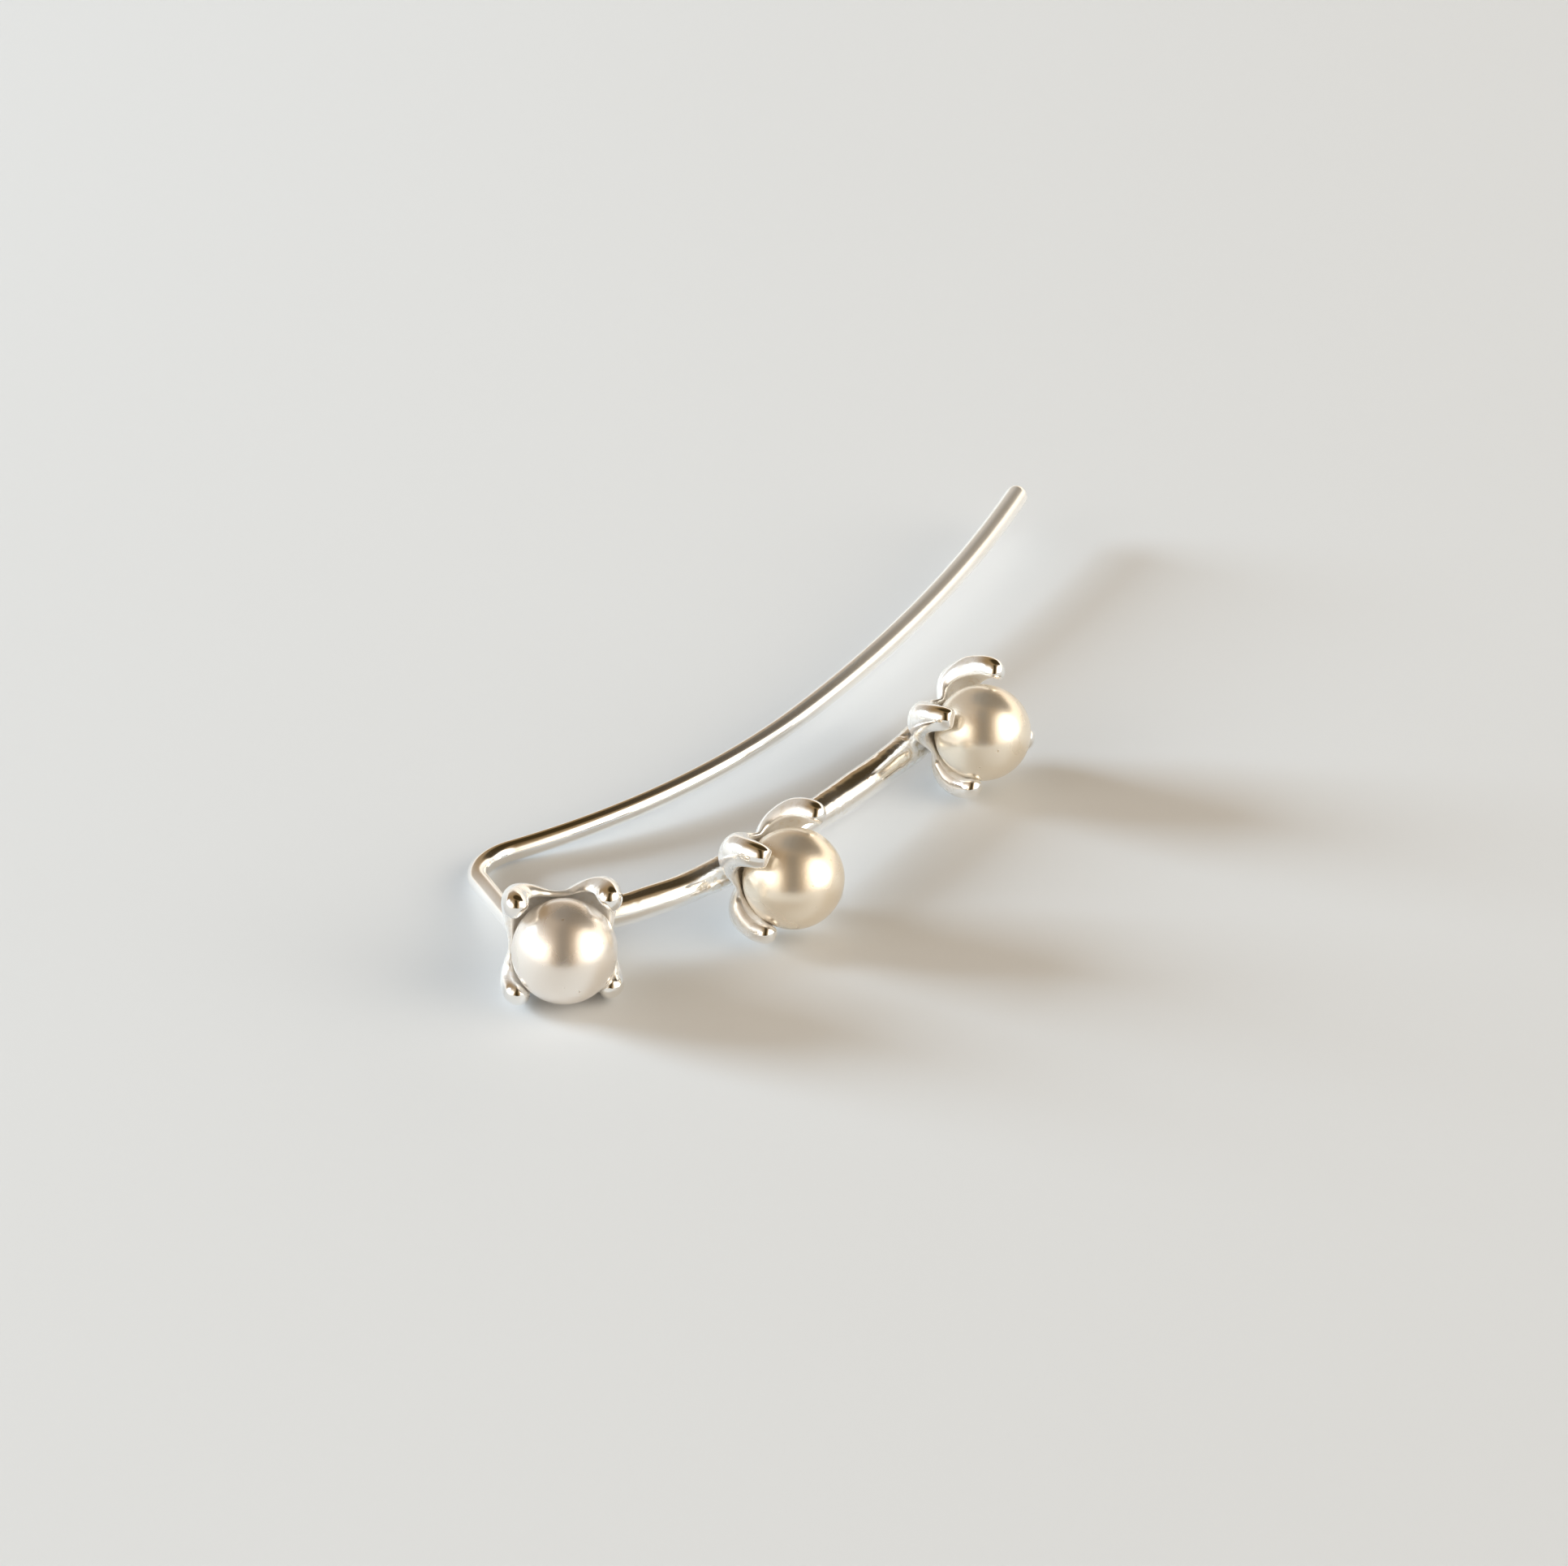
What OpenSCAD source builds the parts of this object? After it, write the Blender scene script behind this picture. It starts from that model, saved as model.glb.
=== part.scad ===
// Ear climber: three pearls in four-claw cups on a curved bar, with a long hook wire behind it.
// It lies on its side, as it comes to rest on a table, and +Z is up.
// The bar, the cups and the hook are one soldered piece, and each pearl sits on a peg in its cup.

/* [Pearls] */
// Diameter of the first pearl, at the hook's bend
pearl_d = 3.5; // [3.2:0.05:3.8]
// How much smaller each next pearl is
pearl_step = 0.07; // [0:0.01:0.15]
// Gap between a pearl and its setting
pearl_gap = 0.04; // [0.02:0.01:0.08]

/* [Settings] */
// Wall of a cup
cup_wall = 0.32; // [0.25:0.01:0.45]
// Height of a pearl's centre over the middle of the bar
pearl_rise = 2.6; // [2.5:0.05:2.9]
// Thickness of a claw, from the pearl outwards
claw_t = 0.68; // [0.6:0.02:0.76]
// Width of a claw, round the pearl
claw_w = 0.92; // [0.8:0.02:1.1]
// Distance from a setting's axis to the ends of its claws, as a share of the pearl's radius
claw_reach = 1.3; // [1.28:0.01:1.4]
// Height of the claws' ends over the pearl's middle
claw_rise = 0; // [-0.1:0.02:0.4]
// How far the claws sit off the pearls' middles, towards the upper side as it lies
claw_shift = 0.2; // [0:0.02:0.24]
// Diameter of the peg in the pearl
peg_d = 0.7; // [0.5:0.05:0.9]
// Turn of each setting's four claws about its axis, in degrees
claw_turns = [-7, 3, 13]; // [-20:1:20]
// Lean of each setting along the bar, in degrees
leans = [2, -1, -13]; // [-20:1:20]
// Roll of each setting up from the plane of the bar, in degrees
rolls = [3, 1, 10]; // [-15:1:15]
// How far each setting is soldered above the middle of the bar
lifts = [0.12, 0.03, 0.07]; // [0:0.01:0.2]

/* [Bar] */
// Diameter of the bar
bar_d = 1.05; // [0.9:0.05:1.2]
// Length of the bar from the first setting to the second
bar_len_1 = 7.05; // [6.5:0.05:8]
// Bend of that length, in degrees
bar_bend_1 = 39.5; // [30:0.5:45]
// Length of the bar from the second setting to the third
bar_len_2 = 11.25; // [10:0.05:12]
// Bend of that length, in degrees
bar_bend_2 = 11.5; // [5:0.5:20]

/* [Hook] */
// Diameter of the wire
wire_d = 0.76; // [0.7:0.02:0.9]
// Distance from the bar to the wire behind the first setting
ear_gap = 6.3; // [5.8:0.1:7]
// How far the wire's first point is from the first setting, along the bar
wire_x = -0.75; // [-1:0.05:-0.5]
// Radius of the tight bend
hook_bend_r = 1.75; // [1.4:0.05:2]
// Direction of the wire as it leaves the tight bend, in degrees from the bar
wire_head = 12.6; // [8:0.2:16]
// Climb of the wire there out of the plane of the bar, in degrees
wire_climb = 1.3; // [0:0.1:3]
// Length of the wire's first run
wire_len_1 = 12.5; // [11:0.1:14]
// Bend of that run, in degrees
wire_bend_1 = 31.5; // [25:0.5:35]
// Length of its second run
wire_len_2 = 16.9; // [14:0.1:18]
// Bend of that run, in degrees
wire_bend_2 = 15.5; // [10:0.5:20]
// How far the first run's bend is turned up out of the plane of the bar, in degrees
wire_lift_1 = 5; // [0:1:10]
// How far the second run's bend is turned up, in degrees
wire_lift_2 = 14; // [0:1:20]

/* [Hidden] */
$fn = 64;
SILVER = [0.86, 0.85, 0.82];
PEARL = [0.93, 0.88, 0.82];
SETTINGS = [0, 1, 2];
CLAW_ANGLES = [45, 135, 225, 315];
// How much a bead or a claw's end stands proud of its rod
BEAD = 0.015;
// Where a claw starts under the cup, in degrees below level
CLAW_START = 78;
// Radius of a claw's curve and how far the curve's middle lies under the pearl's, as shares of its radius
CLAW_CURVE = 0.85;
CLAW_DROP = 0.25;
// A cup's rim lies this far under the pearl's middle, as a share of its radius
RIM_DROP = 0.1;
// Radius of the round scoops between the claws, and where they start and lie, as shares of it too
SCOOP_R = 0.6;
SCOOP_FROM = 0.5;
SCOOP_DROP = 0.08;
// Radius of a cup's foot, as a share of it too
FOOT_R = 0.42;
// Turns about X, Y and Z that lay it on its lower claws and its tight bend, in degrees
REST_TURN = [-8.37, -5.51, 9.04];
// Shift that then puts its middle over the origin and its lowest point at z = 0
REST_SHIFT = [-6.8, -12.205, 1.385];
// Radius of a stretch of bar or wire from its length and its bend
function arc_r(len, bend) = len / (bend * PI / 180);
BAR_R_1 = arc_r(bar_len_1, bar_bend_1);
BAR_R_2 = arc_r(bar_len_2, bar_bend_2);
WIRE_R_1 = arc_r(wire_len_1, wire_bend_1);
WIRE_R_2 = arc_r(wire_len_2, wire_bend_2);

// Radius of a setting's pearl
function pearl_r(i) = (pearl_d - i * pearl_step) / 2;

// Goes on from the end of an arc that starts along +X and turns towards +Y
module after_arc(r, bend) {
    translate([0, r, 0])
        rotate([0, 0, bend])
            translate([0, -r, 0])
                children();
}

// A round rod bent to such an arc
module arc_rod(r, bend, d) {
    translate([0, r, 0])
        rotate([0, 0, -90])
            rotate_extrude(angle = bend)
                translate([r, 0])
                    circle(d = d);
}

// A solder bead a hair thicker than the rod along X, which joins two lengths or rounds an end
module bead(d) {
    rotate([0, 90, 0])
        sphere(d = d + 2 * BEAD);
}

// Goes to the foot of setting i, with its axis up and the bar along +X
module at_setting(i) {
    if (i == 0)
        lean_setting(i) children();
    if (i == 1)
        after_arc(BAR_R_1, bar_bend_1) lean_setting(i) children();
    if (i == 2)
        after_arc(BAR_R_1, bar_bend_1) after_arc(BAR_R_2, bar_bend_2) lean_setting(i) children();
}

module lean_setting(i) {
    translate([0, 0, lifts[i]])
        rotate([90 - rolls[i], 0, leans[i]])
            children();
}

// Section of a claw: an oval with its long side along Y, grown by some margin
module claw_section(grow) {
    straight = claw_w - claw_t;
    for (side = [-0.5, 0.5])
        translate([0, side * straight])
            circle(d = claw_t + 2 * grow);
    square([claw_t + 2 * grow, straight], center = true);
}

// One claw, in the plane of X and Z, from under the cup to its round end past the pearl's middle
module claw(r) {
    curve_r = CLAW_CURVE * r;
    end_a = asin((claw_rise + CLAW_DROP * r) / curve_r);
    translate([claw_reach * r - curve_r * cos(end_a), 0, -CLAW_DROP * r])
        rotate([90, 0, 0]) {
            rotate([0, 0, -CLAW_START])
                rotate_extrude(angle = CLAW_START + end_a)
                    translate([curve_r, 0])
                        claw_section(0);
            rotate([0, 0, end_a])
                translate([curve_r, 0, 0])
                    claw_tip();
        }
}

// The round end of a claw
module claw_tip() {
    rotate_extrude()
        intersection() {
            claw_section(BEAD);
            translate([0, -claw_w])
                square(2 * claw_w);
        }
}

// The bowl under a pearl, still solid, scooped down between the claws
module cup(r) {
    outer_r = r + pearl_gap + cup_wall;
    rim_z = -RIM_DROP * r;
    difference() {
        rotate_extrude()
            intersection() {
                circle(r = outer_r);
                translate([0, -outer_r])
                    square([outer_r, outer_r + rim_z]);
            }
        for (a = [0, 90, 180, 270])
            rotate([0, 0, a])
                translate([SCOOP_FROM * r, 0, -SCOOP_DROP * r])
                    rotate([0, 90, 0])
                        cylinder(r = SCOOP_R * r, h = outer_r);
    }
}

// Setting i, with its foot on the middle of the bar and its axis along +Z
module setting(i) {
    r = pearl_r(i);
    difference() {
        union() {
            translate([0, 0, pearl_rise]) {
                rotate([0, 0, claw_turns[i]])
                    cup(r);
                translate([0, claw_shift, 0])
                    for (a = CLAW_ANGLES)
                        rotate([0, 0, a + claw_turns[i]])
                            claw(r);
            }
            cylinder(r = FOOT_R * r, h = pearl_rise - r);
        }
        translate([0, 0, pearl_rise])
            sphere(r = r + pearl_gap);
    }
    cylinder(d = peg_d, h = pearl_rise);
}

// The bar, from its end at the hook to its end at the third setting
module bar() {
    translate([-leg_foot_x(), 0, 0]) {
        bead(bar_d);
        rotate([0, 90, 0])
            cylinder(d = bar_d, h = leg_foot_x());
    }
    bead(bar_d);
    arc_rod(BAR_R_1, bar_bend_1, bar_d);
    after_arc(BAR_R_1, bar_bend_1) {
        bead(bar_d);
        arc_rod(BAR_R_2, bar_bend_2, bar_d);
        after_arc(BAR_R_2, bar_bend_2)
            bead(bar_d);
    }
}

// Where the leg of the hook starts, past the tight bend, and where it meets the bar
function leg_x() = wire_x - hook_bend_r * (cos(wire_head) - sin(wire_head));
function leg_y() = ear_gap - hook_bend_r * (cos(wire_head) + sin(wire_head));
function leg_len() = leg_y() / cos(wire_head);
function leg_foot_x() = -leg_x() - leg_len() * sin(wire_head);

// The hook: a leg back from the first setting, a tight bend and a long wire behind the bar
module hook() {
    translate([wire_x, ear_gap, 0])
        rotate([0, 0, wire_head]) {
            bead(wire_d);
            translate([-hook_bend_r, -hook_bend_r, 0])
                rotate([0, 0, -90]) {
                    bead(wire_d);
                    rotate([0, 90, 0])
                        cylinder(d = wire_d, h = leg_len());
                }
            translate([0, -hook_bend_r, 0])
                rotate([0, 0, 90])
                    rotate_extrude(angle = 90)
                        translate([hook_bend_r, 0])
                            circle(d = wire_d);
            rotate([wire_lift_1, -wire_climb, 0]) {
                arc_rod(WIRE_R_1, wire_bend_1, wire_d);
                after_arc(WIRE_R_1, wire_bend_1)
                    rotate([wire_lift_2 - wire_lift_1, 0, 0]) {
                        bead(wire_d);
                        arc_rod(WIRE_R_2, wire_bend_2, wire_d);
                        after_arc(WIRE_R_2, wire_bend_2)
                            bead(wire_d);
                    }
            }
        }
}

// Turns the climber from the plane of its bar to the way it lies
module lying() {
    translate(REST_SHIFT)
        rotate(REST_TURN)
            children();
}

module climber_frame() {
    color(SILVER)
        lying() {
            bar();
            hook();
            for (i = SETTINGS)
                at_setting(i)
                    setting(i);
        }
}

// Pearl i, with the blind hole for its peg
module pearl(i) {
    r = pearl_r(i);
    color(PEARL)
        lying()
            at_setting(i)
                translate([0, 0, pearl_rise])
                    difference() {
                        sphere(r = r);
                        translate([0, 0, -2 * r])
                            cylinder(d = peg_d + 2 * pearl_gap, h = 2 * r + pearl_gap);
                    }
}

climber_frame();
pearl(0);  // pearl_1
pearl(1);  // pearl_2
pearl(2);  // pearl_3
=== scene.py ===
import bpy
import numpy as np
from mathutils import Euler, Matrix, Vector


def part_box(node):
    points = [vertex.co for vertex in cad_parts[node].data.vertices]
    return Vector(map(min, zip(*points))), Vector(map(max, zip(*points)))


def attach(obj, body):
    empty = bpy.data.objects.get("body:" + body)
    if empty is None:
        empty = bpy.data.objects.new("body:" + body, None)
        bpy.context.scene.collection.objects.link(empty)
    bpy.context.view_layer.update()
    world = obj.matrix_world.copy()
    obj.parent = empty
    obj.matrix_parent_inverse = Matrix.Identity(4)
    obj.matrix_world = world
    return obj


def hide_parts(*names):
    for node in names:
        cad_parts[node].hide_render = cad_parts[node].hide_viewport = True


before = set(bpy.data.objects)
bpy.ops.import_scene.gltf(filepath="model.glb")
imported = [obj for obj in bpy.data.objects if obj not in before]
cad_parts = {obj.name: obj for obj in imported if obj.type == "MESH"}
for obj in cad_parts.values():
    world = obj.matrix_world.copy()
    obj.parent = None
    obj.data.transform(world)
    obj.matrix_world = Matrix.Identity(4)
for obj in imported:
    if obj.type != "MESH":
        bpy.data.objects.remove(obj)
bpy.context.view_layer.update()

# Ear climber: three pearls in four-claw cups on a curved silver bar, with a long hook wire behind it.
# It lies on a pale table on its lower claws and the wire's tight bend. Lengths are in millimetres
# until a mesh is made. The plan frame is the bar's own: X along the bar at the first cup, Y towards
# the wire and Z out of the plane of the bar's curve.
MM = 0.001

# How the climber lies on the table: turns about X, Y and Z, then a shift, 0.025 mm higher than the solids
# because the skins of its claws are rounder
REST_TURN = [-8.37, -5.51, 9.04]
REST_SHIFT = [-6.8, -12.205, 1.41]

# Bar: diameter, and each stretch between cups as (length, bend in degrees)
BAR_D = 1.05
BAR_RUNS = [(7.05, 39.5), (11.25, 11.5)]

# Cups: height of a pearl's middle over the bar's, and each cup's lean along the bar, its roll and
# its claws' turn in degrees, and its lift
PEARL_RISE = 2.6
LEANS = [2.0, -1.0, -13.0]
ROLLS = [3.0, 1.0, 10.0]
CLAW_TURNS = [-7.0, 3.0, 13.0]
LIFTS = [0.12, 0.03, 0.07]
CLAW_SHIFT = 0.2

# Hook wire: diameter at the bend and at its end, its place, tight bend, heading and two long runs
WIRE_D = 0.73
WIRE_END_D = 0.84
EAR_GAP = 6.3
WIRE_X = -0.75
HOOK_BEND_R = 1.75
WIRE_HEAD = 12.6
WIRE_CLIMB = 1.3
WIRE_RUNS = [(12.5, 31.5), (16.9, 15.5)]
WIRE_LIFTS = [5.0, 14.0]


# Frames and curves
def spin(x=0.0, y=0.0, z=0.0):
    """Turn by x, then y, then z degrees about the fixed axes, as a 4 by 4 matrix."""
    return Euler(np.radians([x, y, z]), "XYZ").to_matrix().to_4x4()


def moved(x=0.0, y=0.0, z=0.0):
    """Shift as a 4 by 4 matrix."""
    return Matrix.Translation((x, y, z))


LYING = moved(*REST_SHIFT) @ spin(*REST_TURN)


def past_arc(length, bend):
    """Goes on from the end of an arc that starts along +X and turns towards +Y."""
    radius = length / np.radians(bend)
    return moved(0, radius, 0) @ spin(z=bend) @ moved(0, -radius, 0)


def put(matrix, points):
    """Points, an array whose last axis is x, y and z, moved by a 4 by 4 matrix."""
    m = np.array(matrix)
    return points @ m[:3, :3].T + m[:3, 3]


def arc_points(length, bend, count):
    """Points along an arc that starts at the origin along +X and turns towards +Y:
    x is the radius times the sine of the turn so far, y the radius times 1 minus its cosine."""
    turn = np.linspace(0, np.radians(bend), count)
    radius = length / np.radians(bend)
    return np.stack([radius * np.sin(turn), radius * (1 - np.cos(turn)), 0 * turn], axis=1)


def run_along(path):
    """Length run so far at each point of a path: the sum of the straight steps up to it."""
    return np.concatenate([[0], np.cumsum(np.linalg.norm(np.diff(path, axis=0), axis=1))])


def even_curve(points, count):
    """A smooth curve through the points, resampled at equal steps of its own length.
    Between two points it is the Catmull-Rom cubic, whose slopes come from the neighbours."""
    p = np.asarray(points, float)
    padded = np.concatenate([[2 * p[0] - p[1]], p, [2 * p[-1] - p[-2]]])
    t = np.linspace(0, 1, 40, endpoint=False)[None, :, None]
    a, b, c, d = (padded[i : len(p) - 1 + i][:, None, :] for i in range(4))
    fine = 0.5 * (2 * b + (c - a) * t + (2 * a - 5 * b + 4 * c - d) * t**2 + (3 * b - a - 3 * c + d) * t**3)
    fine = np.concatenate([fine.reshape(-1, p.shape[1]), p[-1:]])
    run = run_along(fine)
    steps = np.linspace(0, run[-1], count)
    return np.stack([np.interp(steps, run, column) for column in fine.T], axis=1)


def ease(x, low, high):
    """0 below low, 1 above high and a smooth step between."""
    t = np.clip((x - low) / (high - low), 0, 1)
    return t * t * (3 - 2 * t)


# Meshes
CAST = "cast"


def grid_faces(rows, columns):
    """Quads of a grid whose columns close on themselves, numbered row by row."""
    row, column = np.meshgrid(np.arange(rows - 1), np.arange(columns), indexing="ij")
    beside = (column + 1) % columns
    here, next_row = row * columns, (row + 1) * columns
    corners = [here + column, here + beside, next_row + beside, next_row + column]
    return np.stack(corners, axis=-1).reshape(-1, 4)


def add_piece(name, points, faces, material, node, cast=None):
    """A piece from points in the plan frame, in millimetres, and quads, triangles or both. cast says how
    cast each point is: 0 is polished, 1 is as it was cast and more is matte."""
    mesh = bpy.data.meshes.new(name)
    place = put(LYING, points) * MM
    mesh.from_pydata(place.tolist(), [], [list(map(int, f)) for f in faces])
    if cast is not None:
        mesh.attributes.new(CAST, "FLOAT", "POINT").data.foreach_set("value", cast.astype(np.float32))
    mesh.polygons.foreach_set("use_smooth", np.ones(len(mesh.polygons), bool))
    mesh.update()
    piece = bpy.data.objects.new(name, mesh)
    bpy.context.scene.collection.objects.link(piece)
    mesh.materials.append(material)
    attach(piece, "root")
    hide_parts(node)
    return piece


def closed_rows(rings):
    """Points and faces of a skin through rings, with a fan that closes each end.
    rings is an array of rows by columns by 3."""
    rows, columns = rings.shape[:2]
    ends = [rings[0].mean(axis=0), rings[-1].mean(axis=0)]
    points = np.concatenate([rings.reshape(-1, 3), ends])
    column = np.arange(columns)
    beside = (column + 1) % columns
    start, end = rows * columns, rows * columns + 1
    last = (rows - 1) * columns
    fans = np.concatenate([
        np.stack([beside, column, 0 * column + start], axis=1),
        np.stack([last + column, last + beside, 0 * column + end], axis=1),
    ])
    return points, [*grid_faces(rows, columns), *fans]


def tube(path, radius, sides, relief=None):
    """A round rod along a path, with round ends. Each ring stands square to the path, in a frame that
    is carried along it without twist, and the radius follows a quarter circle over each end.
    relief gives the extra radius from the length along the rod and the angle round it."""
    run = run_along(path)
    ahead = np.gradient(path, run, axis=0)
    ahead /= np.linalg.norm(ahead, axis=1, keepdims=True)
    up = np.array([0, 0, 1.0])
    side = np.cross(up, ahead)
    side /= np.linalg.norm(side, axis=1, keepdims=True)
    top = np.cross(ahead, side)
    radius = np.broadcast_to(radius, run.shape)
    from_end = np.minimum(run, run[-1] - run)
    short = np.clip(1 - from_end / radius, 0, 1)
    rounded = radius * np.sqrt(np.clip(1 - short**2, 1e-6, 1))
    angle = np.linspace(0, 2 * np.pi, sides, endpoint=False)
    thick = np.ones((1, sides)) + (relief(run[:, None], angle[None, :]) / radius[:, None] if relief else 0)
    thick = (thick * rounded[:, None])[..., None]
    ring = np.cos(angle)[None, :, None] * side[:, None, :] + np.sin(angle)[None, :, None] * top[:, None, :]
    return path[:, None, :] + thick * ring


PLAIN_SHARE = 0.85


def finer_ends(count):
    """Steps from 0 to 1 that are closer together at both ends: a share of plain steps, the rest cosine."""
    t = np.linspace(0, 1, count)
    return (1 - PLAIN_SHARE) * (1 - np.cos(np.pi * t)) / 2 + PLAIN_SHARE * t


def resample(path, steps):
    """The path's points at the given shares of its length."""
    run = run_along(path)
    return np.stack([np.interp(steps * run[-1], run, column) for column in path.T], axis=1)


# Shader nodes
class Field:
    """A number in a shader. An expression on fields adds its Math nodes."""

    def __init__(self, shader, socket):
        self.shader, self.socket = shader, socket

    def _math(self, operation, *values):
        return self.shader.node("ShaderNodeMath", {"operation": operation}, dict(enumerate(values)))

    def __add__(self, other):
        return self._math("ADD", self, other)

    def __radd__(self, other):
        return self._math("ADD", other, self)

    def __sub__(self, other):
        return self._math("SUBTRACT", self, other)

    def __rsub__(self, other):
        return self._math("SUBTRACT", other, self)

    def __mul__(self, other):
        return self._math("MULTIPLY", self, other)

    def __rmul__(self, other):
        return self._math("MULTIPLY", other, self)

    def step(self, low, high):
        """0 below low, 1 above high and a smooth step between."""
        settings = {"interpolation_type": "SMOOTHSTEP"}
        inputs = {"Value": self, "From Min": low, "From Max": high}
        return self.shader.node("ShaderNodeMapRange", settings, inputs)


class Nodes:
    """A node tree, and the one way to add nodes to it."""

    def __init__(self, tree):
        self.tree = tree

    def node(self, kind, settings=None, inputs=None, out=0):
        made = self.tree.nodes.new(kind)
        for key, value in (settings or {}).items():
            setattr(made, key, value)
        for key, value in (inputs or {}).items():
            if isinstance(value, Field):
                self.tree.links.new(value.socket, made.inputs[key])
            else:
                made.inputs[key].default_value = value
        return Field(self, made.outputs[out])

    def mix(self, share, first, second):
        """A colour between two colours."""
        inputs = {0: share, 6: first, 7: second}
        return self.node("ShaderNodeMix", {"data_type": "RGBA"}, inputs, out=2)


class Finish(Nodes):
    """A material with one Principled surface, whose constant sockets are given by name."""

    def __init__(self, name, **constants):
        self.material = bpy.data.materials.new(name)
        self.material.use_nodes = True
        super().__init__(self.material.node_tree)
        self.surface = self.tree.nodes["Principled BSDF"]
        for socket, value in constants.items():
            self.surface.inputs[socket.replace("_", " ")].default_value = value
        self.place = self.node("ShaderNodeTexCoord", out="Object")

    def noise(self, size, detail=2.0, rough=0.5, place=None):
        """Soft noise from 0 to 1 with features of about that size in millimetres."""
        inputs = {
            "Vector": place or self.place,
            "Scale": 1 / (size * MM),
            "Detail": detail,
            "Roughness": rough,
        }
        return self.node("ShaderNodeTexNoise", None, inputs)

    def feed(self, socket, field):
        self.tree.links.new(field.socket, self.surface.inputs[socket])

    def bump(self, height, depth):
        """Height from 0 to 1, depth in millimetres."""
        inputs = {"Strength": 1.0, "Distance": depth * MM, "Height": height}
        self.feed("Normal", self.node("ShaderNodeBump", None, inputs))


# Tones of the silver and of what is left in its pits
SILVER_LIGHT = (0.965, 0.955, 0.93, 1)
SILVER_WARM = (0.93, 0.91, 0.87, 1)
PIT_GOLD = (0.66, 0.53, 0.34, 1)


def silver(name, rough, satin, chalk, pits=0.0):
    """Polished silver with faint waves and fine wear. Where the mesh says it is cast, it is duller by satin,
    matte by the share of chalk, and has pits as deep as pits says."""
    shader = Finish(name)
    cloud = shader.noise(1.6, 3.0)
    wear = shader.noise(0.5, 1.0)
    cast = shader.node("ShaderNodeAttribute", {"attribute_name": CAST}, out="Fac")
    tint = shader.mix(cloud.step(0.35, 0.75), SILVER_LIGHT, SILVER_WARM)
    height = wear * 0.5 + cloud
    if pits:
        pit = shader.noise(0.17, 2.0, 0.5).step(0.5, 0.68) * cast.step(0, 1)
        tint = shader.mix(pit * (0.55 * pits), tint, PIT_GOLD)
        height = height - pit * pits
    shader.feed("Base Color", tint)
    shader.feed("Metallic", 1 - cast * chalk)
    shader.feed("Roughness", wear * 0.05 + rough + cast * satin)
    shader.bump(height, 0.004)
    return shader.material


# Pin marks in the pearls
MARK_BROWN = (0.5, 0.36, 0.2, 1)


def nacre(name, light, deep, seed):
    """Pearl: nacre that drifts between a light and a deep tone, with fine grain and a few pin marks."""
    shader = Finish(name, Metallic=0.74, Coat_Weight=0.25, Coat_Roughness=0.12, Coat_IOR=1.45)
    shift = (seed * 0.01, seed * 0.007, 0)
    place = shader.node("ShaderNodeMapping", None, {"Vector": shader.place, "Location": shift})
    drift = shader.noise(2.2, 2.0, place=place)
    mark = shader.noise(0.2, 1.0, place=place).step(0.76, 0.82)
    grain = shader.noise(0.12, 2.0, place=place)
    tint = shader.mix(drift.step(0.35, 0.7), (*light, 1), (*deep, 1))
    shader.feed("Base Color", shader.mix(mark * 0.5, tint, MARK_BROWN))
    shader.feed("Roughness", 0.23 + drift * 0.08 + mark * 0.1)
    shader.bump(grain * 0.3 + drift - mark * 0.4, 0.008)
    return shader.material


# Light and deep tone of each pearl
NACRES = [
    ((0.88, 0.83, 0.77), (0.84, 0.77, 0.69)),
    ((0.92, 0.835, 0.70), (0.87, 0.765, 0.62)),
    ((0.91, 0.835, 0.71), (0.86, 0.77, 0.63)),
]


# Camera and light
CAMERA_PLACE = (0.897, -181.451, 114.627)
CAMERA_AIM = (-0.000385, 0.843798, -0.53666)
LENS = 140.9
SENSOR = 36.0


def add_camera():
    data = bpy.data.cameras.new("camera")
    data.lens, data.sensor_width = LENS, SENSOR
    data.clip_start, data.clip_end = 0.01, 10
    camera = bpy.data.objects.new("camera", data)
    camera.location = Vector(CAMERA_PLACE) * MM
    camera.rotation_euler = Vector(CAMERA_AIM).to_track_quat("-Z", "Y").to_euler()
    bpy.context.scene.collection.objects.link(camera)
    bpy.context.scene.camera = camera


# Room light: a bright wall all round that is dimmer at its foot, a brown ceiling over it that leans to
# the back, two dark spots in that ceiling, and a brown column with a dark core behind the camera. An edge
# gives the parts of a direction towards the middle at which a share starts and is full, and the column's
# gives where it is still full and where it ends
WALL = (1.62, 1.42, 1.18)
WALL_FOOT = (1.05, 0.96, 0.85)
WALL_RISE = (0.0, 0.34)
CEILING = (0.31, 0.205, 0.10)
CEILING_AT = (-0.292, 0.374, 0.880)
CEILING_EDGE = (0.47, 0.60)
DARK = (0.050, 0.032, 0.012)
DARK_SPOTS = [((0.181, 0.498, 0.848), (0.815, 0.94)), ((0.53, 0.42, 0.737), (0.90, 0.97))]
COLUMN_SIDE = (0.32, 0.62)
COLUMN_CORE = (0.10, 0.34)
COLUMN_BACK = (-0.15, 0.15)

# Glows, two on the right, a broad one on the left and the window behind it: direction, narrowness, colour
GLOWS = [
    ((0.93, -0.27, 0.12), 16.0, (3.0, 2.9, 2.7)),
    ((0.80, -0.25, 0.48), 20.0, (2.0, 1.95, 1.8)),
    ((-0.83, -0.33, 0.43), 16.0, (1.7, 1.68, 1.65)),
    ((-0.93, 0.24, 0.31), 60.0, (7.0, 8.0, 9.0)),
]

# The window that throws the long soft shadows: direction, distance, width and height in metres, brightness
# and colour
WINDOW_AT = (-0.94, 0.243, 0.27)
WINDOW_FAR = 0.6
WINDOW_SIZE = (0.22, 0.20)
WINDOW_BRIGHT = 36.0
WINDOW_COLOUR = (0.82, 1.0, 1.16)


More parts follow.
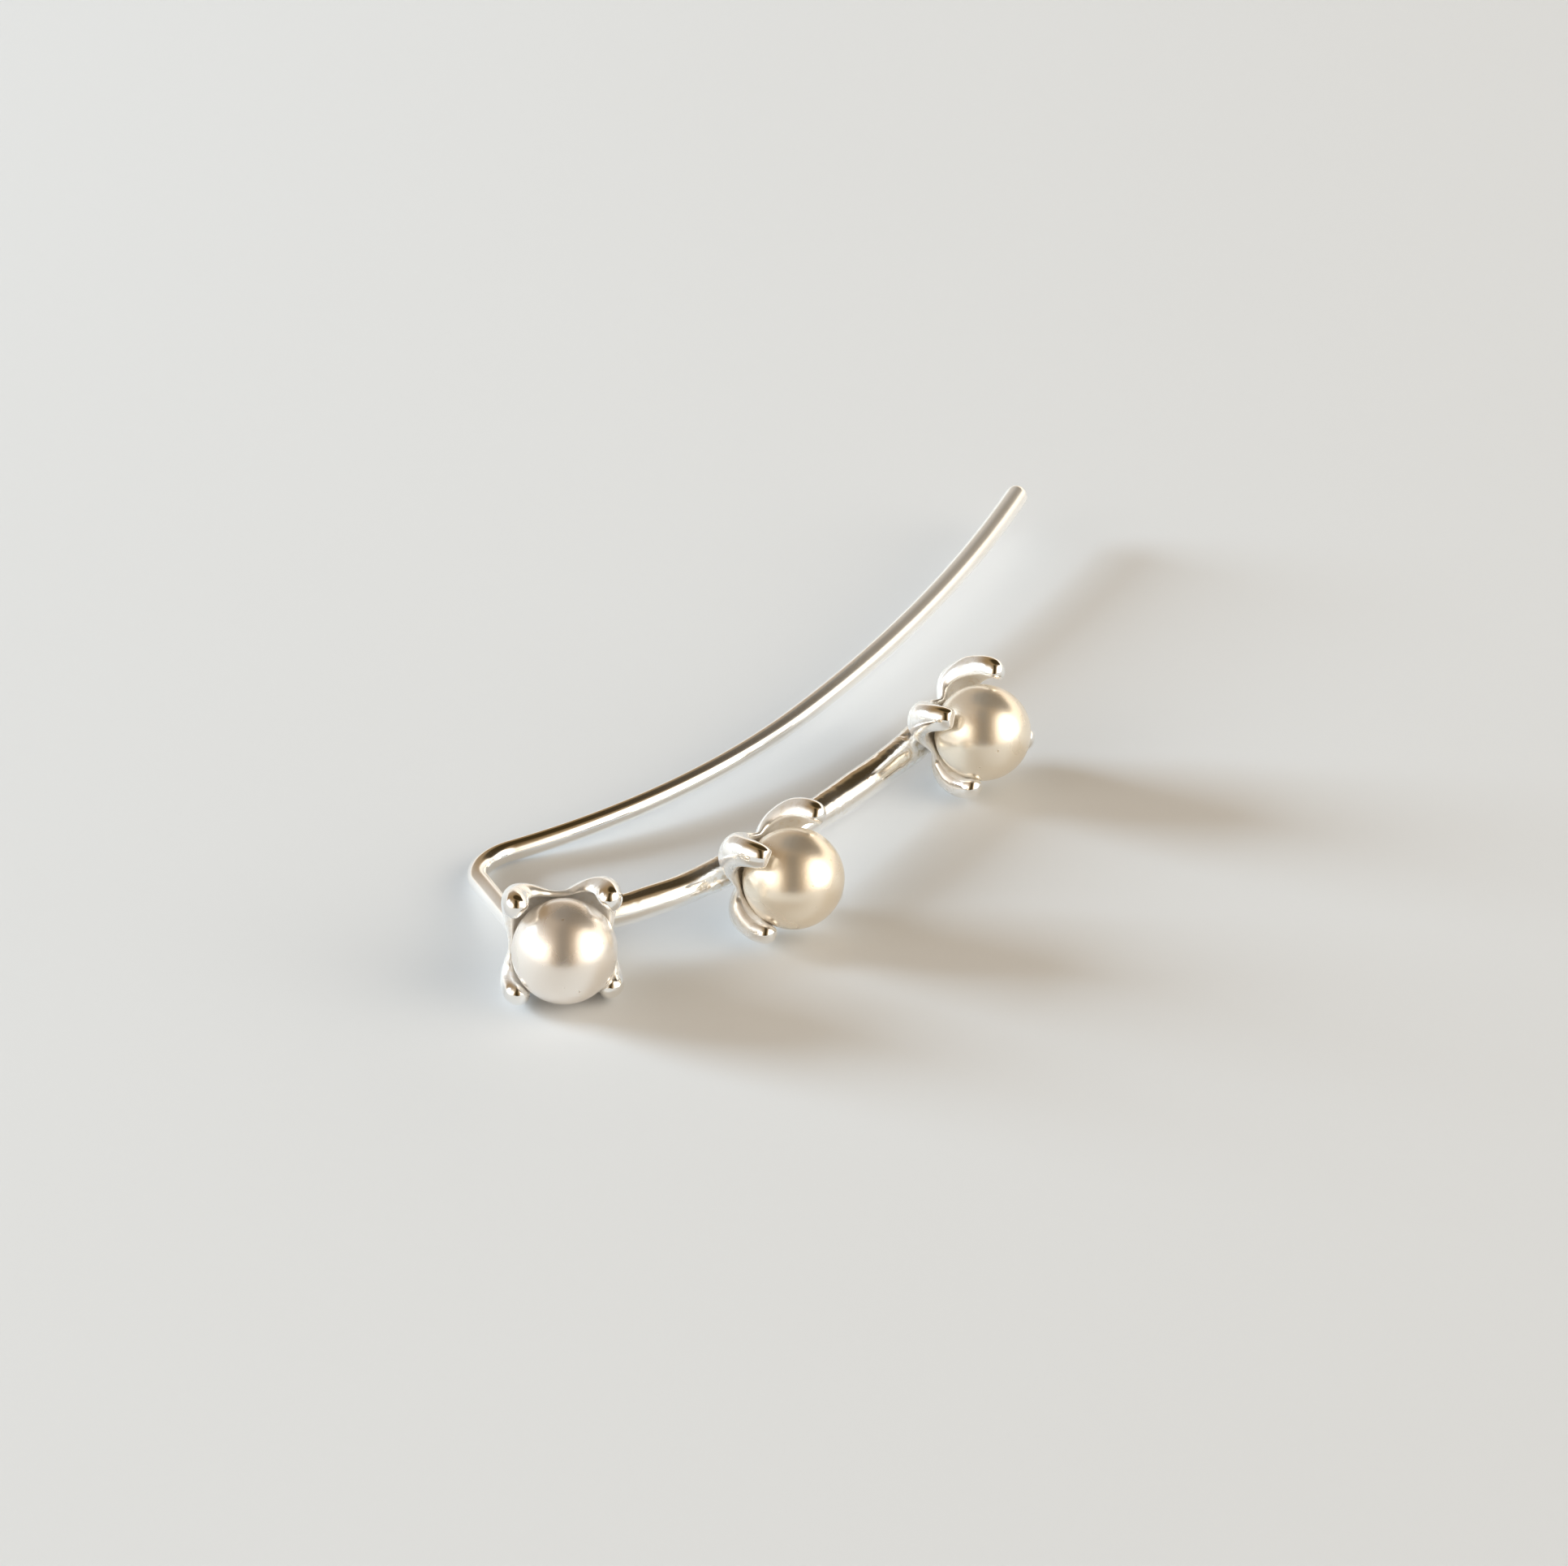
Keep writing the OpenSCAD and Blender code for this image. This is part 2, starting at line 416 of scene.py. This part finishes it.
def add_room_light():
    """Light from all round. A glow is the exponential of its narrowness times one number: the cosine of
    the angle from its middle, less 1."""
    world = bpy.data.worlds.new("room")
    bpy.context.scene.world = world
    world.use_nodes = True
    nodes = Nodes(world.node_tree)
    ahead = nodes.node("ShaderNodeTexCoord", out="Generated")

    def facing(direction):
        """Cosine of the angle between each direction and this one."""
        inputs = {0: ahead, 1: tuple(Vector(direction).normalized())}
        return nodes.node("ShaderNodeVectorMath", {"operation": "DOT_PRODUCT"}, inputs, out="Value")

    aside = nodes.node("ShaderNodeMath", {"operation": "ABSOLUTE"}, {0: facing((1, 0, 0))})
    behind = 1 - facing((0, 1, 0)).step(*COLUMN_BACK)
    light = nodes.mix(facing((0, 0, 1)).step(*WALL_RISE), (*WALL_FOOT, 1), (*WALL, 1))
    light = nodes.mix(facing(CEILING_AT).step(*CEILING_EDGE), light, (*CEILING, 1))
    light = nodes.mix((1 - aside.step(*COLUMN_SIDE)) * behind, light, (*CEILING, 1))
    light = nodes.mix((1 - aside.step(*COLUMN_CORE)) * behind, light, (*DARK, 1))
    for middle, edge in DARK_SPOTS:
        light = nodes.mix(facing(middle).step(*edge), light, (*DARK, 1))
    for direction, narrow, colour in GLOWS:
        power = (facing(direction) - 1) * narrow
        share = nodes.node("ShaderNodeMath", {"operation": "EXPONENT"}, {0: power})
        more = nodes.node("ShaderNodeVectorMath", {"operation": "SCALE"}, {0: colour, "Scale": share})
        light = nodes.node("ShaderNodeVectorMath", {"operation": "ADD"}, {0: light, 1: more})
    world.node_tree.links.new(light.socket, world.node_tree.nodes["Background"].inputs["Color"])


def add_window():
    """A rectangular light that faces the climber. What is polished mirrors its glow in the room's light
    instead. The power that a brightness asks for is pi times the area times that brightness."""
    data = bpy.data.lights.new("window", "AREA")
    data.shape, data.size, data.size_y = "RECTANGLE", *WINDOW_SIZE
    data.energy, data.color = WINDOW_BRIGHT * np.pi * WINDOW_SIZE[0] * WINDOW_SIZE[1], WINDOW_COLOUR
    light = bpy.data.objects.new("window", data)
    light.location = Vector(WINDOW_AT).normalized() * WINDOW_FAR
    light.rotation_euler = light.location.to_track_quat("Z", "Y").to_euler()
    light.visible_camera = light.visible_glossy = False
    bpy.context.scene.collection.objects.link(light)


# Table: half its width in metres, and its two tones
TABLE_HALF = 1.5
TABLE_TONES = [(0.69, 0.705, 0.715, 1), (0.67, 0.68, 0.685, 1)]


def add_table():
    """A pale flat square under the climber, with broad faint clouds."""
    shader = Finish("table_top", Roughness=0.75)
    shader.feed("Base Color", shader.mix(shader.noise(60, 3.0), *TABLE_TONES))
    mesh = bpy.data.meshes.new("table_top")
    corners = np.array([(-1, -1, 0), (1, -1, 0), (1, 1, 0), (-1, 1, 0)]) * TABLE_HALF
    mesh.from_pydata(corners.tolist(), [], [(0, 1, 2, 3)])
    mesh.materials.append(shader.material)
    table = bpy.data.objects.new("table_top", mesh)
    bpy.context.scene.collection.objects.link(table)


# Pearls
def cup_frame(i):
    """Matrix from cup i's own frame, with its axis up and its foot on the bar, to the plan frame."""
    place = Matrix.Identity(4)
    for length, bend in BAR_RUNS[:i]:
        place = place @ past_arc(length, bend)
    return place @ moved(z=LIFTS[i]) @ spin(x=90 - ROLLS[i], z=LEANS[i])


def pearl_radius(i):
    """From the width of the pearl's solid, in millimetres."""
    low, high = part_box(f"pearl_{i + 1}")
    return (high[1] - low[1]) / 2 / MM


# Rows and columns of a pearl, and how far from a pole its first row lies, in radians
PEARL_GRID = (200, 320)
POLE_GAP = 0.004


def pearl_rings(radius, seed):
    """A sphere, rows from pole to pole, whose radius swells and dips by a few thousandths in three slow
    waves: sines of the turn that fade at the poles, and a cosine of the way down."""
    rows, columns = PEARL_GRID
    row = np.linspace(POLE_GAP, np.pi - POLE_GAP, rows)
    column = np.linspace(0, 2 * np.pi, columns, endpoint=False)
    down, turn = np.meshgrid(row, column, indexing="ij")
    swell = 0.0022 * np.sin(2 * turn + seed) * np.sin(down) ** 2 + 0.0025 * np.cos(3 * down + seed)
    swell = swell + 0.0012 * np.sin(5 * turn - 2 * seed) * np.sin(down) ** 5
    r = radius * (0.998 + swell)
    x = r * np.sin(down) * np.cos(turn)
    y = r * np.sin(down) * np.sin(turn)
    return np.stack([x, y, -r * np.cos(down)], axis=-1)


# Cups: the claws' rim, as degrees round from a claw's middle and degrees up from the cup's foot,
# seen from the pearl's middle; the rest are shares of the pearl's radius
CLAW_RIM = [
    (0, 99.5), (5.5, 98.2), (9.5, 94.8), (12, 89), (13, 82),
    (14.5, 74), (18, 67), (25, 61), (34, 57.5), (45, 56.5),
]
WALL_MID = 1.09
WALL_HALF = 0.055
CLAW_HALF = 0.195
CLAW_REACH = 1.3
CLAW_CURVE = 0.85
CLAW_DROP = 0.25
RIM_STEPS = 90
CUP_ROWS = 50

# By how many degrees each cup's claws are longer and its rim between them is lower, and how far the claws
# stand out at the tilts below
CLAWS_LONGER = [(0, 0, 0, 0), (0, 9, -4, 4), (6, 9, 0, 5)]
RIM_LOWER = [-6, 7, 9]
CLAWS_OUT = [
    ((0, -0.02, 0), (0, -0.08, 0), (0, 0, 0.02), (0, 0, 0)),
    ((0, -0.03, 0), (0, -0.03, 0), (0, -0.03, 0), (0, 0, 0)),
    ((0.25, -0.04, 0), (0, 0, 0), (-0.1, -0.03, 0), (0, 0, 0)),
]
OUT_TILTS = (42, 74, 106)
OUT_SPREAD = 20

# How fully a claw's inner side fills the space down to the pearl, and where that is, as a share of its radius
FULL_CLAWS = [(0, 0, 0, 0), (0.1, 0.3, 0.9, 0), (0.2, 0.3, 0.8, 0)]
FULL_TO = 1.035

# The flat cut on the ends of two claws: which, its direction in degrees up from the pearl, its depth, how
# soft its edge is and how matte it is
FILED_CLAWS = [(0, 0, 0, 0), (0, 1, 0, 0), (0, 1, 0, 0)]
FILED_TURN = 62
FILED_DEPTH = 0.11
FILED_SOFT = 0.004
FILED_MATTE = 1.6

# The claws' ends are worn bright from this tilt to this one, in degrees, and a cup is more matte inside
WORN_TILTS = (74, 92)
MATTE_INSIDE = 2.2


def claw_share(turn, tilt):
    """1 in the middle of a claw and 0 halfway between two claws: the cosine of twice the turn to a power
    that grows towards the claw's end, so a claw is broad at its foot and slim at its end."""
    return np.clip(np.cos(np.radians(2 * turn)), 0, 1) ** (1.5 + 3.5 * ease(tilt, 45, 88))


def cup_mid(turn, tilt, out=(0, 0, 0)):
    """Distance from the pearl's middle to the middle of the cup's wall, for degrees round from a claw's
    middle and degrees up from the foot: the claw's round curve under a claw, with three soft bells
    that move it out, fading to the plain wall between two claws."""
    a = np.radians(tilt)
    centre_x = CLAW_REACH - np.sqrt(CLAW_CURVE**2 - CLAW_DROP**2)
    half_b = np.sin(a) * centre_x + np.cos(a) * CLAW_DROP
    curve = half_b + np.sqrt(half_b**2 + CLAW_CURVE**2 - centre_x**2 - CLAW_DROP**2)
    curve = curve + sum(o * np.exp(-(((tilt - t) / OUT_SPREAD) ** 2)) for o, t in zip(out, OUT_TILTS))
    claw = WALL_MID + 0.03 * np.logaddexp(0, (curve - WALL_MID) / 0.03)
    return WALL_MID + (claw - WALL_MID) * claw_share(turn, tilt)


def on_ball(reach, turn, tilt):
    """Points at that reach from the middle, degrees round from +X and degrees up from -Z."""
    a, b = np.radians(tilt), np.radians(turn)
    x = reach * np.sin(a) * np.cos(b)
    y = reach * np.sin(a) * np.sin(b)
    return np.stack([x, y, -reach * np.cos(a)], axis=-1)


def filed(points, tip):
    """Moves what stands past the flat on a claw's end straight back on it, with a soft edge, and says how far
    each point is on the flat, from 0 to 1."""
    a = np.radians(FILED_TURN)
    facing = np.array([-np.cos(a), 0, np.sin(a)])
    over = (points - tip) @ facing - (CLAW_HALF - FILED_DEPTH)
    back = FILED_SOFT * np.logaddexp(0, over / FILED_SOFT)
    return points - back[..., None] * facing, ease(over, 0, 2 * FILED_SOFT)[..., None]


def distance_to_line(points, line):
    """Least distance from each point to the straight stretches between the line's points: each stretch is
    entered at the share of its length where a square to it meets the point, held between 0 and 1."""
    start, along = line[:-1], np.diff(line, axis=0)
    to = points[..., None, :] - start
    share = np.clip(np.sum(to * along, axis=-1) / np.sum(along**2, axis=-1), 0, 1)
    return np.min(np.linalg.norm(to - share[..., None] * along, axis=-1), axis=-1)


def one_claw(longer, out, flat, full, lower):
    """Rings of a quarter of a cup, with its claw in the middle, from the foot over the rim to the inside.
    Half of it is worked out: columns go up from the foot to even steps along the rim, the wall stands
    half its thickness on each side of its middle, and the thickness falls to nothing at the rim as a
    quarter circle of the distance to it. The rest is that half, mirrored. Two more numbers at each point
    say how far it shifts, because the claws sit off the pearl's middle, and how cast it is. longer, out,
    flat, full and lower are the claw's own values from the lists above."""
    rim = even_curve(CLAW_RIM, RIM_STEPS)
    rim[:, 1] += longer * ease(rim[:, 1], 60, 99) - lower * ease(rim[:, 0], 12, 30)
    rim_points = on_ball(cup_mid(rim[:, 0], rim[:, 1], out), rim[:, 0], rim[:, 1])
    rim_all = np.concatenate([(rim_points * [1, -1, 1])[:0:-1], rim_points])
    up = np.linspace(0, 1, CUP_ROWS)[:, None]
    share = 1 - (1 - up) ** 1.8
    tilt = 1.5 + share * (rim[None, :, 1] - 1.5)
    spine = 45 * (rim[None, :, 0] / 45) ** 2
    turn = spine + (rim[None, :, 0] - spine) * up**3
    mid = cup_mid(turn, tilt, out)
    near = distance_to_line(on_ball(mid, turn, tilt), rim_all)
    near[-1] = 0
    half = WALL_HALF + (CLAW_HALF - WALL_HALF) * claw_share(turn, tilt) * ease(tilt, 8, 40)
    round_off = np.sqrt(1 - (1 - np.clip(near / half, 0, 1)) ** 2)
    inward = half + full * np.clip(mid - half - FULL_TO, 0, None) * (1 - ease(tilt, 74, 92))
    outer = on_ball(mid + half * round_off, turn, tilt)
    sheet = np.concatenate([outer, on_ball(mid - inward * round_off, turn, tilt)[-2::-1]])
    shift = claw_share(turn, tilt)[..., None]
    cast = 1 - ease(tilt, *WORN_TILTS)[..., None]
    inside = cast + MATTE_INSIDE * ease(near, 0, WALL_HALF)[..., None]
    shares = np.concatenate([np.concatenate([shift, cast], -1), np.concatenate([shift, inside], -1)[-2::-1]])
    if flat:
        tip_tilt = rim[0, 1] - np.degrees(CLAW_HALF / CLAW_REACH)
        sheet, cut = filed(sheet, on_ball(cup_mid(0, tip_tilt, out), 0, tip_tilt))
        shares[..., 1:] += FILED_MATTE * cut
    sheet = np.concatenate([sheet, shares], axis=-1)
    return np.concatenate([sheet[:, :0:-1] * [1, -1, 1, 1, 1], sheet[:, :-1]], axis=1)


def smoothed(rings, times=4):
    """Rings whose points move, a few times over, to the mean of themselves, twice, and their two neighbours:
    first round each ring, then from ring to ring between the first and the last."""
    for _ in range(times):
        rings = (np.roll(rings, 1, axis=1) + 2 * rings + np.roll(rings, -1, axis=1)) / 4
        rings[1:-1] = (rings[:-2] + 2 * rings[1:-1] + rings[2:]) / 4
    return rings


def claw_cup(i, radius):
    """Rings of cup i, its four claws side by side, and how cast they are. Towards the rim the claws sit off
    the pearl's middle."""
    claws = zip(CLAWS_LONGER[i], CLAWS_OUT[i], FILED_CLAWS[i], FULL_CLAWS[i])
    quarters = [one_claw(*claw, RIM_LOWER[i]) for claw in claws]
    turned = [put(spin(z=90 * k + 45), quarter[..., :3]) for k, quarter in enumerate(quarters)]
    rings = radius * put(spin(z=CLAW_TURNS[i]), np.concatenate(turned, axis=1))
    shares = np.concatenate(quarters, axis=1)[..., 3:]
    shift = CLAW_SHIFT * ease(rings[..., 2:], -1.1 * radius, -0.6 * radius) * shares[..., :1]
    return smoothed(rings + shift * [0, 1, 0]), shares[..., 1]


# A cup's foot: how far its solder runs along the bar and stands across it, in millimetres, its lumps,
# its rows and columns, and the number that starts its random draws
SOLDER_ALONG = 0.85
SOLDER_ACROSS = 0.53
FOOT_LUMPS = 70
FOOT_GRID = (60, 144)
FOOT_DRAW = 11


def cup_foot(radius, seed):
    """Rings of the cast foot from the bar to the cup. Each ring is an oval: along the bar its half width
    falls from the cup's down to a waist and grows again where the solder runs out along the bar, and across
    the bar it falls to the bar's own. Small lumps and dents, each a bell of its own place, width and height,
    cover it."""
    height = PEARL_RISE - radius * 1.04
    up = np.linspace(0, 1, FOOT_GRID[0])[:, None]
    angle = np.linspace(0, 2 * np.pi, FOOT_GRID[1], endpoint=False)[None, :]
    along = radius * (0.36 + 0.20 * up**2) + SOLDER_ALONG * (1 - ease(up, 0.15, 0.75)) ** 2
    across = SOLDER_ACROSS + (radius * 0.56 - SOLDER_ACROSS) * ease(up, 0.1, 1)
    draw = np.random.default_rng(seed)
    turn = draw.uniform(0, 2 * np.pi, (FOOT_LUMPS, 1, 1))
    at = draw.uniform(0, 1, (FOOT_LUMPS, 1, 1))
    width = draw.uniform(0.08, 0.2, (FOOT_LUMPS, 1, 1))
    depth = draw.uniform(-0.05, 0.04, (FOOT_LUMPS, 1, 1))
    round_way = np.mod(angle[None] - turn + np.pi, 2 * np.pi) - np.pi
    lumps = 1 + np.sum(depth * np.exp(-(round_way**2 + (up[None] - at) ** 2) / width**2), axis=0)
    x = along * lumps * np.cos(angle)
    return np.stack([x, across * lumps * np.sin(angle), up * height + 0 * x], axis=-1)


def add_cup(i, material, foot_material):
    """Cup i with its claws, and the cast foot under it."""
    radius = pearl_radius(i)
    rings, cast = claw_cup(i, radius)
    points, faces = closed_rows(rings)
    points = put(cup_frame(i) @ moved(z=PEARL_RISE), points)
    cast = np.concatenate([cast.ravel(), [1, 1]])
    add_piece(f"claw_cup_{i + 1}", points, faces, material, "climber_frame", cast)
    points, faces = closed_rows(cup_foot(radius, i + FOOT_DRAW))
    points = put(cup_frame(i), points)
    cast = np.ones(len(points))
    add_piece(f"cup_foot_{i + 1}", points, faces, foot_material, "climber_frame", cast)


def add_pearl(i):
    """Pearl i in its cup, with a nacre of its own."""
    points, faces = closed_rows(pearl_rings(pearl_radius(i), 1.7 * i))
    points = put(cup_frame(i) @ moved(z=PEARL_RISE), points)
    skin = nacre(f"nacre_{i + 1}", *NACRES[i], i + 1)
    add_piece(f"pearl_{i + 1}_skin", points, faces, skin, f"pearl_{i + 1}")


# Bar and hook wire
def hook_start():
    """The leg's top, where the tight bend begins, and the leg's foot on the bar, in the plan frame."""
    head = np.radians(WIRE_HEAD)
    top_x = WIRE_X - HOOK_BEND_R * (np.cos(head) - np.sin(head))
    top_y = EAR_GAP - HOOK_BEND_R * (np.cos(head) + np.sin(head))
    top = np.array([top_x, top_y, 0])
    length = top[1] / np.cos(head)
    return top, top + length * np.array([np.sin(head), -np.cos(head), 0])


def bar_path():
    """From the hook's leg along both runs of the bar, a little past the last cup."""
    foot = hook_start()[1]
    pieces, place = [foot[None, :]], Matrix.Identity(4)
    for length, bend in BAR_RUNS:
        pieces.append(put(place, arc_points(length, bend, 200)))
        place = place @ past_arc(length, bend)
    pieces.append(put(place, np.array([[BAR_D / 2, 0, 0]])))
    return np.concatenate([pieces[0], pieces[1], pieces[2][1:], pieces[3]])


# Rough casting and solder on the bar: where along it, how far it reaches to each side and how strong it is
ROUGH_PLACES = [(7.0, 1.1, 1.0), (13.0, 0.9, 0.45), (18.1, 1.7, 1.0)]
ROUGH_LEAST = 0.16
PEBBLES = 420
PEBBLE_DRAW = 7

# Where the bar swells, how far that reaches to each side and by how much
SWELLS = [(7.6, 1.0, 0.05), (14.8, 3.5, 0.045), (18.7, 1.5, 0.08)]


def roughness_along(run):
    """How rough the casting is at that length along the bar: a bell round each rough place."""
    rough = sum(depth * np.exp(-(((run - at) / reach) ** 2)) for at, reach, depth in ROUGH_PLACES)
    return np.clip(rough, ROUGH_LEAST, 1)


def bar_relief(run, angle):
    """Cast surface of the bar: slow waves along and round it, a swell by a cup, and pebbles and pits, each a
    bell of its own place, width and height, which grow with the roughness."""
    waves = 0.010 * np.sin(1.3 * run + 2 * angle) + 0.006 * np.sin(3.1 * run - angle + 1)
    waves = waves + sum(more * np.exp(-(((run - at) / reach) ** 2)) for at, reach, more in SWELLS)
    draw = np.random.default_rng(PEBBLE_DRAW)
    at = draw.uniform(0, run.max(), (PEBBLES, 1, 1))
    turn = draw.uniform(0, 2 * np.pi, (PEBBLES, 1, 1))
    width = draw.uniform(0.08, 0.2, (PEBBLES, 1, 1))
    height = draw.uniform(-0.03, 0.02, (PEBBLES, 1, 1))
    across = BAR_D / 2 * (np.mod(angle[None] - turn + np.pi, 2 * np.pi) - np.pi)
    bells = np.sum(height * np.exp(-((run[None] - at) ** 2 + across**2) / width**2), axis=0)
    return waves + bells * (0.08 + 0.92 * roughness_along(run))


def wire_path():
    """The leg from the bar, the tight bend as a quarter circle, and the two long runs, whose planes lift."""
    top, foot = hook_start()
    frame_at = moved(WIRE_X, EAR_GAP, 0) @ spin(z=WIRE_HEAD)
    quarter = np.linspace(np.pi, np.pi / 2, 60)
    x = HOOK_BEND_R * np.cos(quarter)
    y = HOOK_BEND_R * np.sin(quarter) - HOOK_BEND_R
    bend = np.stack([x, y, 0 * quarter], axis=1)
    long_frame = frame_at @ spin(x=WIRE_LIFTS[0], y=-WIRE_CLIMB)
    first = put(long_frame, arc_points(*WIRE_RUNS[0], 150))
    long_frame = long_frame @ past_arc(*WIRE_RUNS[0]) @ spin(x=WIRE_LIFTS[1] - WIRE_LIFTS[0])
    second = put(long_frame, arc_points(*WIRE_RUNS[1], 150))
    return np.concatenate([np.linspace(foot, top, 40)[:-1], put(frame_at, bend), first[1:], second[1:]])


# Lines that drawing left along the front of the wire's first run, in degrees round, and where they fade, as
# shares of its length. Its far end turns satin, and so is its leg up to the first run
DRAWN_TURNS = (157, 186)
DRAWN_DEPTH = 0.006
DRAWN_WIDTH = 7
DRAWN_FADE = (0.35, 0.55)
SATIN_FROM = (0.25, 0.8)
SATIN_TO = (0.08, 0.2)
SATIN_LEG = 0.5
SATIN_END = 0.7


def wire_relief(run, angle):
    """Two shallow grooves along the wire, each a bell across, that fade at a share of its length."""
    across = sum(np.exp(-(((np.degrees(angle) - turn) / DRAWN_WIDTH) ** 2)) for turn in DRAWN_TURNS)
    return -DRAWN_DEPTH * across * (1 - ease(run / run.max(), *DRAWN_FADE))


# Rings along the bar and the wire, points round each, and where the wire swells towards its end
BAR_GRID = (420, 96)
WIRE_GRID = (620, 120)
WIRE_SWELL = (0.25, 1)


def add_bar(material):
    """The bar, as cast as its rough places say."""
    path = resample(bar_path(), finer_ends(BAR_GRID[0]))
    points, faces = closed_rows(tube(path, BAR_D / 2, BAR_GRID[1], bar_relief))
    run = run_along(path)
    cast = np.concatenate([np.repeat(roughness_along(run), BAR_GRID[1]), [0, 0]])
    add_piece("bar", points, faces, material, "climber_frame", cast)


def add_wire(material):
    """The hook wire, polished along its first run and satin on its leg and towards its end."""
    path = resample(wire_path(), finer_ends(WIRE_GRID[0]))
    run = np.linspace(0, 1, len(path))
    thick = WIRE_D + (WIRE_END_D - WIRE_D) * ease(run, *WIRE_SWELL)
    points, faces = closed_rows(tube(path, thick / 2, WIRE_GRID[1], wire_relief))
    satin = SATIN_LEG * (1 - ease(run, *SATIN_TO)) + SATIN_END * ease(run, *SATIN_FROM)
    cast = np.concatenate([np.repeat(satin, WIRE_GRID[1]), [SATIN_LEG, SATIN_END]])
    add_piece("hook_wire", points, faces, material, "climber_frame", cast)


bpy.context.scene.view_settings.view_transform = "Standard"
add_camera()
add_table()
add_room_light()
add_window()
bright_silver = silver("bright_silver", 0.05, 0.11, 0.3, 0.4)
cast_silver = silver("cast_silver", 0.06, 0.12, 0.1, 1.1)
add_bar(cast_silver)
add_wire(silver("wire_silver", 0.05, 0.17, 0.5))
for number in range(3):
    add_cup(number, bright_silver, cast_silver)
    add_pearl(number)
